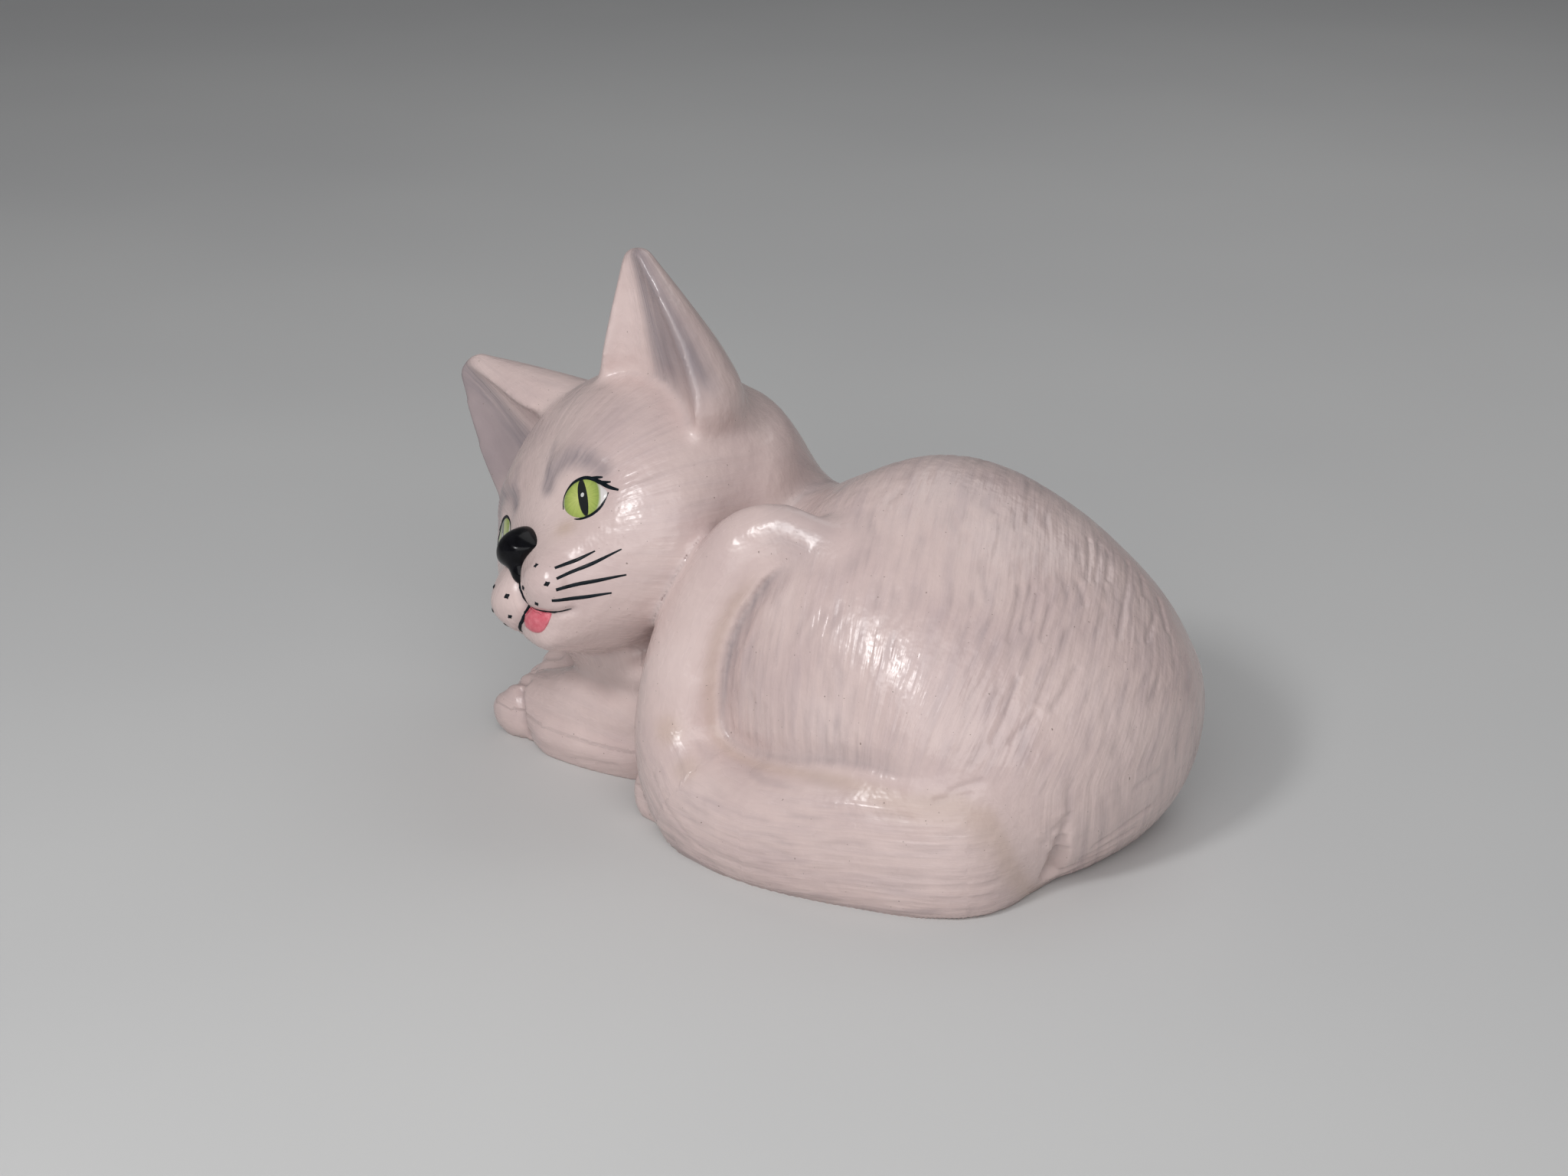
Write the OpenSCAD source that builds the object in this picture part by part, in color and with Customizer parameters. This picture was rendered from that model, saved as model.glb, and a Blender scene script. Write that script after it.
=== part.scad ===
// Lying ceramic cat with its face turned to the display side
// Millimetres. +Z is up, -Y is the display side, +X is the rump end.
// The origin is on the table under the middle of the figure.

/* [Shells] */
// Wall of the hollow body and head
wall = 5; // [4:0.5:6.5]
// Diameter of the drain hole in the base
drain_diameter = 16; // [10:1:24]

/* [Body] */
// Length of the body from the rump to the neck
body_length = 176; // [168:1:184]
// Width across the hips
hip_width = 140; // [130:1:148]
// Height of the hips above the table
hip_height = 115; // [108:1:121]
// Width of the chest behind the neck
chest_width = 104; // [98:1:110]
// Height of the chest behind the neck
chest_height = 96; // [91:1:101]
// Diameter of the neck where the head is stuck on
neck_diameter = 92; // [86:1:96]

/* [Head] */
// Width of the head across the cheeks
head_width = 100; // [94:1:105]
// Height of the head from chin to crown
head_height = 88; // [84:1:93]
// Length of the head from the back of the skull to the muzzle
head_length = 94; // [90:1:98]
// Height of the head centre above the table
head_lift = 82.5; // [79:0.5:85]
// Sideways tilt of the head in degrees
head_tilt = 32.5; // [29:0.5:36]

/* [Ears] */
// Height of an ear from its root to its tip
ear_height = 55; // [50:1:60]
// Width of an ear at its root
ear_width = 44; // [40:1:48]
// Depth of an ear at its root, from its opening to its back
ear_depth = 46; // [42:1:50]
// Thickness of the ear rim
ear_rim = 3; // [2.5:0.25:4]
// How far an ear's hollow stands forward at the root, as a share of half the ear's depth
ear_hollow = 1.3; // [1.2:0.05:1.4]
// Droop of the right ear below its mirror place, in degrees
right_ear_droop = 2; // [0:0.5:5]

/* [Face] */
// Distance between the eye centres
eye_spacing = 48; // [44:0.5:51]
// Width of an eye
eye_width = 16; // [13:0.5:18]
// Height of an eye
eye_height = 14.5; // [12:0.5:16]
// Width of the nose
nose_width = 17; // [14:0.5:19]
// Width of the tongue
tongue_width = 11; // [8:0.5:13]

/* [Tail] */
// Height of the tail where it lies on the table
tail_height = 46; // [40:1:50]
// Thickness of the tail where it lies on the table
tail_thickness = 28; // [24:1:32]
// Width of the tail where it climbs the flank
tail_rise_width = 30; // [26:1:34]
// Height of the tail tip above the table
tail_tip_height = 104; // [98:1:108]

/* [Legs] */
// Length of a foreleg from the chest to the toes
foreleg_length = 86; // [80:1:92]
// Width of a foreleg at the chest
foreleg_width = 36; // [32:1:40]
// Height of a foreleg at the chest
foreleg_height = 43; // [39:1:46]
// Width of a front paw
paw_width = 27; // [24:1:30]
// Height of a front paw
paw_height = 21; // [18:1:24]
// Width of a hind paw
hind_paw_width = 24; // [20:1:28]
// Height of a hind paw
hind_paw_height = 18; // [15:1:21]

/* [Hidden] */

// A section is [x, y, z, half width, rise, drop, heading, pitch].
// Heading 0 runs toward -X and 90 toward -Y; pitch lifts the path.
function heading_of(s) = [-cos(s[6]), -sin(s[6]), 0];
function across_of(s) = [sin(s[6]), -cos(s[6]), 0];
function travel_of(s) = heading_of(s) * cos(s[7]) + [0, 0, sin(s[7])];
function rise_of(s) = [0, 0, cos(s[7])] - heading_of(s) * sin(s[7]);
function centre_of(s) = [s[0], s[1], s[2]];

// Smooth curve through a list of sections, u counted in sections
function smooth_at(list, u) =
  let (n = len(list) - 1, i = max(0, min(floor(u), n - 1)), f = u - i)
  let (b = list[i], c = list[i + 1])
  let (a = i > 0 ? list[i - 1] : 2 * b - c, d = i + 2 > n ? 2 * c - b : list[i + 2])
  b + f * 0.5 * ((c - a) + f * (2 * a - 5 * b + 4 * c - d + f * (3 * (b - c) + d - a)));

// Rounded outline of one section; a fullness under 1 makes the lower half boxier
function full(v, fullness) = sign(v) * pow(abs(v), fullness);
function edge_at(s, t, fullness, grow = 1, along = 0) =
  let (f = sin(t) > 0 ? 1 : fullness)
  centre_of(s) + travel_of(s) * along
  + across_of(s) * s[3] * grow * full(cos(t), f)
  + rise_of(s) * (sin(t) > 0 ? s[4] : s[5]) * grow * full(sin(t), f);
function outline(s, sides, fullness, grow = 1, along = 0) =
  [for (i = [0 : sides - 1]) edge_at(s, 360 * i / sides, fullness, grow, along)];
// Rounded end of a form; a taper above 0 lets it begin already narrowing
function dome(s, sides, fullness, length, steps, taper) =
  [for (j = [1 : steps]) let (a = taper + (90 - taper) * j / (steps + 1))
    outline(s, sides, fullness, cos(a) / cos(taper), length * (sin(a) - sin(taper)) / (1 - sin(taper)))];
function turned_round(list) = [for (i = [len(list) - 1 : -1 : 0]) list[i]];

// A swell is [centre, radius, push]: a soft local bump or hollow
function total(list, i = 0) = i >= len(list) ? [0, 0, 0] : list[i] + total(list, i + 1);
function swelled(p, swells) = p + total([for (w = swells) w[2] * exp(-pow(norm(p - w[0]) / w[1], 2))]);

// Closed solid through sections, with rounded ends of the given lengths
module form(sections, rings, sides, fullness = 1, start = 0, end = 0, swells = [], steps = 3, taper = 0) {
  n = len(sections) - 1;
  first = sections[0];
  last = sections[n];
  middle = [for (j = [0 : rings]) outline(smooth_at(sections, n * j / rings), sides, fullness)];
  front = start > 0 ? turned_round(dome(first, sides, fullness, -start, steps, taper)) : [];
  back = end > 0 ? dome(last, sides, fullness, end, steps, taper) : [];
  loops = concat(front, middle, back);
  q = len(loops);
  poles = [centre_of(first) - travel_of(first) * start, centre_of(last) + travel_of(last) * end];
  points = [for (p = concat([for (r = loops) each r], poles)) swelled(p, swells)];
  sides_faces = [for (i = [0 : q - 2], j = [0 : sides - 1])
    let (a = i * sides + j, b = i * sides + (j + 1) % sides)
    each [[a, b + sides, b], [a, a + sides, b + sides]]];
  start_faces = [for (j = [0 : sides - 1]) [q * sides, j, (j + 1) % sides]];
  end_faces = [for (j = [0 : sides - 1])
    [q * sides + 1, (q - 1) * sides + (j + 1) % sides, (q - 1) * sides + j]];
  polyhedron(points = points, faces = concat(sides_faces, start_faces, end_faces));
}

// Sections drawn in by a wall thickness, for the hollow inside
function drawn_in(sections, by) =
  [for (s = sections) [s[0], s[1], s[2], s[3] - by, s[4] - by, s[5] - by, s[6], s[7]]];

// Everything under the table, cut away to leave a flat base
module under(level) translate([-2 * body_length, -2 * body_length, level - body_length])
  cube([4 * body_length, 4 * body_length, body_length]);

// Places on the figure are shares of the body, counted from the hips
base_sink = wall;
function along(share) = share * body_length;
function aside(share) = share * hip_width;

// Body: rump, hips, chest and neck
function body_row(x, y, mid, widen, lift, heading, pitch) =
  [along(x), aside(y), mid * hip_height, widen * hip_width / 2, (lift - mid) * hip_height,
   mid * hip_height + base_sink, heading, pitch];
function chest_row(x, y, mid, widen, rise, drop, heading, pitch) =
  [along(x), aside(y), mid * chest_height, widen * chest_width / 2, rise * chest_height,
   drop * chest_height, heading, pitch];
neck_seat = [along(-0.455), aside(-0.143), head_lift - 0.087 * neck_diameter];
neck_heading = 62;
neck_pitch = 28;
neck_radius = neck_diameter / 2;
rump_round = 0.125 * body_length;
rump_taper = 36;
body_fullness = 0.85;
body_sections = [
  body_row(0.420, 0.057, 0.340, 0.79, 0.675, 0, 0),
  body_row(0.318, 0.043, 0.375, 0.94, 0.815, 0, 0),
  body_row(0.159, 0.029, 0.417, 1.00, 0.955, 0, 0),
  body_row(0, 0.014, 0.435, 1.00, 1.00, 2, 0),
  body_row(-0.148, -0.014, 0.435, 0.91, 0.90, 8, 2),
  chest_row(-0.261, -0.057, 0.542, 1.00, 0.458, 0.583, 20, 8),
  chest_row(-0.352, -0.086, 0.646, 0.94, 0.545, 0.542, 40, 18),
  [neck_seat[0], neck_seat[1], neck_seat[2], neck_radius * 1.05, neck_radius * 1.19, neck_radius * 0.87,
   neck_heading, neck_pitch]];
module body_form()
  form(body_sections, 26, 38, body_fullness, start = rump_round, steps = 4, taper = rump_taper);
module body_hollow() difference() {
  form(drawn_in(body_sections, wall), 12, 22, body_fullness, start = rump_round - wall, end = 2 * wall,
       taper = rump_taper);
  under(wall);
}

module body_shell() color("#e4dad8") difference() {
  body_form();
  body_hollow();
  under(0);
  translate([along(0.03), aside(0.02), -wall / 2]) cylinder(d = drain_diameter, h = wall * 2, $fn = 48);
}

// Head, drawn looking toward -Y with its centre at the origin
head_turn = 2;
head_nod = 7.5;
head_place = [neck_seat[0] - 0.06 * neck_diameter, neck_seat[1] - 0.206 * neck_diameter, head_lift];
module in_head() translate(head_place) rotate([-head_nod, -head_tilt, head_turn]) children();
function on_head(p) = [p[0] * head_width, p[1] * head_length, p[2] * head_height];
function head_row(y, widen, rise, drop, mid) =
  [0, y * head_length, mid * head_height, widen * head_width / 2, rise * head_height, drop * head_height,
   90, 0];
head_sections = [
  head_row(0.362, 0.88, 0.50, 0.40, 0.034),
  head_row(0.170, 1.04, 0.555, 0.48, 0.034),
  head_row(-0.043, 1.03, 0.53, 0.49, 0.034),
  head_row(-0.213, 0.945, 0.47, 0.48, 0.011),
  head_row(-0.351, 0.75, 0.36, 0.42, -0.032),
  head_row(-0.457, 0.535, 0.225, 0.31, -0.11),
  head_row(-0.521, 0.35, 0.14, 0.23, -0.159)];
head_fullness = 0.96;
skull_round = 0.128 * head_length;
muzzle_round = 0.043 * head_length;

// Whisker pads, cheeks, eye sockets, brows and chin
function swell(at, radius, push) = [on_head(at), radius * head_width, push * head_width];
function both_sides(at, radius, push) =
  [swell(at, radius, push), swell([-at[0], at[1], at[2]], radius, [-push[0], push[1], push[2]])];
head_swells = concat(
  both_sides([0.11, -0.553, -0.205], 0.09, [0.025, -0.04, 0]),
  both_sides([0.38, -0.213, -0.205], 0.20, [0.04, -0.02, 0]),
  both_sides([0.19, -0.340, 0.216], 0.09, [0, -0.02, 0.01]),
  both_sides([0.22, -0.426, 0.080], 0.10, [0, 0.025, -0.01]),
  [swell([0, -0.489, -0.375], 0.09, [0, -0.03, -0.01])]);
module head_form() in_head()
  form(head_sections, 21, 38, head_fullness, start = skull_round, end = muzzle_round, swells = head_swells);
module head_hollow() in_head()
  form(drawn_in(head_sections, wall), 9, 20, head_fullness, start = skull_round - wall / 2);
module neck_side() translate(neck_seat) rotate([0, 90 - neck_pitch, 180 + neck_heading])
  translate([0, 0, -head_length]) cylinder(d = 1.6 * head_width, h = head_length, $fn = 40);

module head_shell() color("#e6dcd9") difference() {
  head_form();
  head_hollow();
  neck_side();
  body_form();
}

// Ears, scooped out toward the face
ear_heading = 158;
ear_pitch = 67;
ear_root = on_head([0.30, 0.032, 0.33]);
ear_reach = ear_height * [0.386, -0.248, 0.888];
function ear_row(share, deep, inner, outer) =
  let (p = ear_root + share * ear_reach)
  [p[0], p[1], p[2], deep * ear_depth / 2, inner * ear_width / 2, outer * ear_width / 2,
   ear_heading, ear_pitch];
ear_shares = [-0.4, 0, 0.28, 0.6, 0.94];
ear_sections = [
  ear_row(ear_shares[0], 0.76, 0.90, 0.80),
  ear_row(ear_shares[1], 1.00, 1.60, 1.42),
  ear_row(ear_shares[2], 0.88, 1.24, 1.24),
  ear_row(ear_shares[3], 0.57, 0.80, 0.86),
  ear_row(ear_shares[4], 0.20, 0.30, 0.30)];
ear_facing = [0.38, -0.92, 0];
hollow_slant = 0.2;
function scoop_row(share, s) =
  let (p = centre_of(s) + s[3] * (ear_hollow - hollow_slant * share) * ear_facing)
  [p[0], p[1], p[2], s[3] - ear_rim, s[4] - ear_rim, s[5] - ear_rim, s[6], s[7]];
scoop_sections = [for (k = [0 : len(ear_shares) - 1]) scoop_row(ear_shares[k], ear_sections[k])];
module ear_form() form(ear_sections, 11, 22, end = ear_rim);
module ear_scoop() form(scoop_sections, 9, 16);
module ear() difference() {
  ear_form();
  ear_scoop();
}

module left_ear() color("#e3d9d8") difference() {
  in_head() ear();
  head_form();
}

module right_ear() color("#e3d9d8") difference() {
  in_head() mirror([1, 0, 0]) rotate([0, right_ear_droop, 0]) ear();
  head_form();
}

// A flat oval pebble facing -Y
module pebble(width, height, relief, sides = 28, steps = 4) {
  oval = [width / 2, height / 2, height / 2, 90, 0];
  form([concat([0, relief / 10, 0], oval), concat([0, -relief / 10, 0], oval)], 1, sides,
       start = relief, end = relief, steps = steps);
}

// Eyes, each seated square to the face at its place
eye_relief = 0.19 * eye_width;
eye_level = 4.55;
function head_skin(u, t) = swelled(edge_at(smooth_at(head_sections, u), t, head_fullness), head_swells);
eye_angle = acos(eye_spacing / 2 / smooth_at(head_sections, eye_level)[3]);
eye_place = head_skin(eye_level, eye_angle);
eye_facing = cross(head_skin(eye_level - 0.4, eye_angle) - head_skin(eye_level + 0.4, eye_angle),
                   head_skin(eye_level, eye_angle + 8) - head_skin(eye_level, eye_angle - 8));
eye_outward = atan2(eye_facing[0], -eye_facing[1]);
eye_upward = asin(eye_facing[2] / norm(eye_facing));
module eye() translate(eye_place) rotate([-eye_upward, 0, eye_outward])
  pebble(eye_width, eye_height, eye_relief);

module left_eye() color("#a9c95a") difference() {
  in_head() eye();
  head_form();
}

module right_eye() color("#a9c95a") difference() {
  in_head() mirror([1, 0, 0]) eye();
  head_form();
}

// Nose and tongue, pressed on in relief
module nose_form() {
  translate(on_head([0, -0.512, -0.03])) pebble(nose_width, 0.74 * nose_width, 0.54 * nose_width);
  translate(on_head([0, -0.512, -0.105])) pebble(0.52 * nose_width, 0.80 * nose_width, 0.44 * nose_width);
}
module nose() color("#141416") difference() {
  in_head() nose_form();
  head_form();
}

tongue_relief = 0.3 * tongue_width;
tongue_slope = 16;
module tongue() color("#e0607a") difference() {
  in_head() translate(on_head([0.012, -0.553, -0.325])) rotate([tongue_slope, 0, 0])
    pebble(tongue_width, tongue_width * 1.05, tongue_relief);
  head_form();
}

// Tail: along the table, then up the flank and back over the haunch
function tail_low(x, y, high, thick, heading) =
  let (half = high * tail_height / 2)
  [along(x), aside(y), half, thick * tail_thickness / 2, half, half * 1.6, heading, 0];
function tail_high(x, y, climb, thick, rise, drop, heading, pitch) =
  [along(x), aside(y), climb * tail_tip_height, thick * tail_thickness / 2, rise * tail_rise_width / 2,
   drop * tail_rise_width / 2, heading, pitch];
tail_sections = [
  tail_low(0.400, -0.100, 1.00, 0.70, 84),
  tail_low(0.395, -0.300, 1.02, 0.92, 52),
  tail_low(0.250, -0.419, 0.96, 1.02, 18),
  tail_low(0.068, -0.504, 0.78, 1.14, 4),
  tail_high(-0.091, -0.513, 0.183, 1.20, 1.00, 2.00, -2, 12),
  tail_high(-0.182, -0.493, 0.308, 1.06, 1.00, 1.33, -4, 60),
  tail_high(-0.193, -0.464, 0.519, 0.86, 1.00, 1.07, -4, 92),
  tail_high(-0.170, -0.429, 0.721, 0.76, 0.87, 0.90, -10, 115),
  tail_high(-0.114, -0.379, 0.913, 0.66, 0.74, 0.80, -15, 130),
  tail_high(-0.045, -0.322, 0.976, 0.56, 0.60, 0.66, -20, 155),
  tail_high(0.040, -0.272, 0.952, 0.40, 0.40, 0.40, -10, 178)];
module tail_form() form(tail_sections, 34, 20, start = 0.3 * tail_thickness, end = 0.2 * tail_thickness);

module tail() color("#e0d6d6") difference() {
  tail_form();
  body_form();
  under(0);
}

// Forelegs, stretched forward under the head, with four toes each
function leg_row(from, share, y, slim, heading) =
  let (w = foreleg_width + (paw_width - foreleg_width) * slim)
  let (h = foreleg_height + (paw_height - foreleg_height) * slim)
  [along(from) - share * foreleg_length, y * chest_width, h / 2, w / 2, h / 2, h / 2 + base_sink, heading, 0];
left_leg_sections = [
  leg_row(-0.295, 0, -0.346, 0, 22),
  leg_row(-0.295, 0.256, -0.461, 0.1, 18),
  leg_row(-0.295, 0.480, -0.522, 0.45, 10),
  leg_row(-0.295, 0.700, -0.546, 0.85, 4),
  leg_row(-0.295, 0.800, -0.560, 1.00, 0)];
right_leg_sections = [
  leg_row(-0.398, 0, -0.077, 0, 36),
  leg_row(-0.398, 0.233, -0.202, 0.2, 30),
  leg_row(-0.398, 0.488, -0.298, 0.6, 22),
  leg_row(-0.398, 0.640, -0.346, 0.90, 16),
  leg_row(-0.398, 0.720, -0.362, 1.00, 14)];
paw_fullness = 0.92;
toe_round = 0.22 * paw_width;
toe_length = 0.33 * paw_width;
toe_width = 0.31 * paw_width;
toe_height = 0.72 * paw_height;
toe_sink = 0.46 * toe_height;
module toes(s) {
  for (k = [-1, -0.36, 0.36, 1])
    translate([s[0], s[1], toe_sink] + travel_of(s) * toe_round * (0.5 - 0.42 * abs(k))
              + across_of(s) * s[3] * 0.74 * k)
      rotate([0, 0, s[6] - 90])
        pebble(toe_width, toe_height, toe_length, sides = 12, steps = 2);
}
module leg_form(sections) {
  form(sections, 14, 22, paw_fullness, end = toe_round);
  toes(sections[len(sections) - 1]);
}
module left_leg_form() leg_form(left_leg_sections);
module right_leg_form() leg_form(right_leg_sections);

module left_foreleg() color("#e2d8d6") difference() {
  left_leg_form();
  body_form();
  under(0);
}

module right_foreleg() color("#e2d8d6") difference() {
  right_leg_form();
  body_form();
  left_leg_form();
  under(0);
}

// Hind paws, showing from under the haunches
hind_heading = 4;
function hind_row(x, y, widen) =
  [along(x), aside(y), hind_paw_height / 2, widen * hind_paw_width / 2, hind_paw_height / 2,
   hind_paw_height / 2 + base_sink, hind_heading, 0];
module hind_form(sections) form(sections, 8, 20, paw_fullness, end = hind_paw_width / 3);
module left_hind_form()
  hind_form([hind_row(-0.057, -0.414, 1), hind_row(-0.170, -0.471, 1), hind_row(-0.244, -0.493, 0.85)]);
module right_hind_form()
  hind_form([hind_row(0.080, 0.257, 1), hind_row(-0.045, 0.314, 1), hind_row(-0.170, 0.357, 0.85)]);

module left_hind_paw() color("#dfd4d3") difference() {
  left_hind_form();
  body_form();
  tail_form();
  under(0);
}

module right_hind_paw() color("#dfd4d3") difference() {
  right_hind_form();
  body_form();
  under(0);
}

// The middle of the figure's outline is brought over the origin
figure_middle = [along(-0.2211), aside(-0.0837), 0];
module placed() translate(-figure_middle) children();

placed() body_shell();
placed() head_shell();
placed() left_ear();
placed() right_ear();
placed() left_eye();
placed() right_eye();
placed() nose();
placed() tongue();
placed() tail();
placed() left_foreleg();
placed() right_foreleg();
placed() left_hind_paw();
placed() right_hind_paw();
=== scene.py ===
# %% [markdown]
# # A glazed ceramic cat
# The figure is a slip casting: one hollow skin of clay, with the ears, legs and tail
# flowing into the body, then scratched with a comb for fur, glazed off-white and
# painted by hand at the eyes, nose, mouth and whiskers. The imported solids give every
# size and place, so this lesson only has to turn them into one soft skin and paint it.

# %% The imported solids
import math

import bpy
import numpy as np
from mathutils import Matrix, Vector
from mathutils.bvhtree import BVHTree


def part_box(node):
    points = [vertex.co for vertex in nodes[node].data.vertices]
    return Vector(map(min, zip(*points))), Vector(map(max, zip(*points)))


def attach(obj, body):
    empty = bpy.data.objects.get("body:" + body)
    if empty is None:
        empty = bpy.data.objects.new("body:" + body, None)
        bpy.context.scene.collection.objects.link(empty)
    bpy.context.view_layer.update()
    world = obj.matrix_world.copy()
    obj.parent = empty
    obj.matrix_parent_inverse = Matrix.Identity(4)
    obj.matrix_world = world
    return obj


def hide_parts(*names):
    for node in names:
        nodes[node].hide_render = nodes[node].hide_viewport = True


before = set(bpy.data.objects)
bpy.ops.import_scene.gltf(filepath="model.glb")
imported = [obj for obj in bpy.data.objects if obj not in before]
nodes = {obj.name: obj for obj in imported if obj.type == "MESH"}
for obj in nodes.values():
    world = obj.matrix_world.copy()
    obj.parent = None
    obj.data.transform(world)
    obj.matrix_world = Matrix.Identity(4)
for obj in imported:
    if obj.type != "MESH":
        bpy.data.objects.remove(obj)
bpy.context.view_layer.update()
print("solids:", sorted(nodes))

# %% [markdown]
# ## Working on one object at a time
# Operators act on whatever is selected, so every step starts by clearing the selection.
# A node's triangles are loose, so a copy is merged before anything else is done to it.

# %% Small helpers
def pick(obj):
    bpy.ops.object.select_all(action="DESELECT")
    obj.select_set(True)
    bpy.context.view_layer.objects.active = obj
    return obj


def copy_of(node, name):
    piece = bpy.data.objects.new(name, nodes[node].data.copy())
    bpy.context.scene.collection.objects.link(piece)
    piece.data.materials.clear()
    pick(piece)
    bpy.ops.object.mode_set(mode="EDIT")
    bpy.ops.mesh.select_all(action="SELECT")
    bpy.ops.mesh.remove_doubles(threshold=1e-6)
    bpy.ops.object.mode_set(mode="OBJECT")
    return piece


def modify(obj, kind, **settings):
    pick(obj)
    step = obj.modifiers.new(kind.lower(), kind)
    for key, value in settings.items():
        setattr(step, key, value)
    bpy.ops.object.modifier_apply(modifier=step.name)


def places(mesh):
    co = np.empty(len(mesh.vertices) * 3)
    mesh.vertices.foreach_get("co", co)
    return co.reshape(-1, 3)


def normals(mesh):
    no = np.empty(len(mesh.vertices) * 3)
    mesh.vertex_normals.foreach_get("vector", no)
    return no.reshape(-1, 3)


def move_to(mesh, co):
    mesh.vertices.foreach_set("co", np.ascontiguousarray(co).ravel())
    mesh.update()


def ease(low, high, value):
    t = np.clip((value - low) / (high - low), 0, 1)
    return t * t * (3 - 2 * t)


# %% [markdown]
# ## One skin from nine solids
# On the real casting there is no seam between body, head, ears, legs and tail: wet clay
# was sponged smooth over every joint. A voxel remesh of the joined copies gives such a
# skin. It follows the outside only where the inside can't be reached, so stoppers go in: a
# core fills the head and a ring backs the hair crack at the neck, both shrunken hulls of the
# head, balls of clay close the open ends of that crack and fill the throat under the jaw, and
# a plug closes the drain hole a few millimetres up, so that the hole is still seen from below.

# %% The casting
CLAY = ["body_shell", "head_shell", "left_ear", "right_ear", "tail", "left_foreleg", "right_foreleg",
        "left_hind_paw", "right_hind_paw"]
GRAIN = 0.00103
NECK = (-0.0412, -0.0083, 0.0745)
DRAIN_PLUG = (0.0442, 0.0145, 0.0065)
THROAT_BALL = ((-0.042, -0.043, 0.040), (0.034, 0.0105, 0.010))
CRACK_BALL = (0.006, 0.006, 0.006)
CRACK_ENDS = [(-0.0616, 0.0188, 0.1002), (-0.0556, 0.0185, 0.1032), (-0.0462, 0.0157, 0.1092),
              (-0.012, -0.033, 0.059), (-0.018, -0.033, 0.054), (-0.024, -0.033, 0.049)]


def tree_of(mesh):
    return BVHTree.FromPolygons([v.co.copy() for v in mesh.vertices], [p.vertices[:] for p in mesh.polygons])


def stopper(name, share, depth):
    piece = copy_of("head_shell", name)
    bpy.ops.object.mode_set(mode="EDIT")
    bpy.ops.mesh.select_all(action="DESELECT")
    bpy.ops.object.mode_set(mode="OBJECT")
    body = tree_of(nodes["body_shell"].data)
    for vertex in piece.data.vertices:
        vertex.select = body.find_nearest(vertex.co)[3] < depth
    bpy.ops.object.mode_set(mode="EDIT")
    bpy.ops.mesh.select_all(action="INVERT")
    bpy.ops.mesh.delete(type="VERT")
    bpy.ops.mesh.select_all(action="SELECT")
    bpy.ops.mesh.convex_hull()
    bpy.ops.transform.resize(value=(share, share, share), center_override=NECK)
    bpy.ops.object.mode_set(mode="OBJECT")
    return piece


copies = [copy_of(name, "clay_" + name) for name in CLAY]
copies += [stopper("head_core", 0.955, 1.0), stopper("neck_ring", 0.992, 0.012)]
bpy.ops.object.select_all(action="DESELECT")
bpy.ops.mesh.primitive_cylinder_add(vertices=32, radius=0.011, depth=0.006, location=DRAIN_PLUG)
bpy.ops.object.transform_apply(location=True)
copies.append(bpy.context.object)
for place, size in [THROAT_BALL] + [(end, CRACK_BALL) for end in CRACK_ENDS]:
    bpy.ops.object.select_all(action="DESELECT")
    bpy.ops.mesh.primitive_uv_sphere_add(segments=48, ring_count=24, radius=1, location=place)
    bpy.ops.transform.resize(value=size)
    bpy.ops.object.transform_apply(location=True, scale=True)
    copies.append(bpy.context.object)
for piece in copies:
    piece.select_set(True)
casting = copies[0]
bpy.context.view_layer.objects.active = casting
bpy.ops.object.join()
modify(casting, "REMESH", mode="VOXEL", voxel_size=GRAIN)
print("casting:", len(casting.data.vertices), "points")

# %% [markdown]
# ## Which solid each point came from
# The distance from every point to every solid says two things: the nearest solid owns
# the point, and where a second one is close there is a joint that a sponge would round.

# %% Owners and joints
FAR = 0.026
NEAR = 0.012
skin = places(casting.data)
gap = np.full((len(skin), len(CLAY)), FAR)
for k, name in enumerate(CLAY):
    tree = tree_of(nodes[name].data)
    reach = FAR if name in ("body_shell", "head_shell") else NEAR
    low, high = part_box(name)
    inside = np.all((skin > np.array(low) - reach) & (skin < np.array(high) + reach), axis=1)
    for i in np.flatnonzero(inside):
        hit = tree.find_nearest(skin[i], reach)
        if hit[0] is not None:
            gap[i, k] = hit[3]
owner = gap.argmin(axis=1)


def owned(*names):
    return np.isin(owner, [CLAY.index(name) for name in names])


def gap_to(name):
    return gap[:, CLAY.index(name)]


on_body, on_head, on_tail = owned("body_shell"), owned("head_shell"), owned("tail")
on_ear = owned("left_ear", "right_ear")
print({name: int((owner == k).sum()) for k, name in enumerate(CLAY)})

# %% [markdown]
# ## Sponging the joints
# The Smooth modifier works like a wet sponge, and vertex groups lead it. The neck, the
# throat and the tail root are worked longest, then the bends of the tail, then every other
# joint. The last pass takes the flats off the large forms, while the thin ears and the toes
# keep their edges.

# %% Where the sponge goes
def joint(first, other, reach):
    far = np.where(owned(first), gap_to(other), np.where(owned(other), gap_to(first), FAR))
    return ease(reach, 0.15 * reach, far)


def meet(first, other, reach):
    return ease(reach, 0.15 * reach, np.maximum(gap_to(first), gap_to(other)))


def near_to(co, place, radius):
    return ease(radius, 0.3 * radius, np.linalg.norm(co - np.array(place), axis=1))


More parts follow.
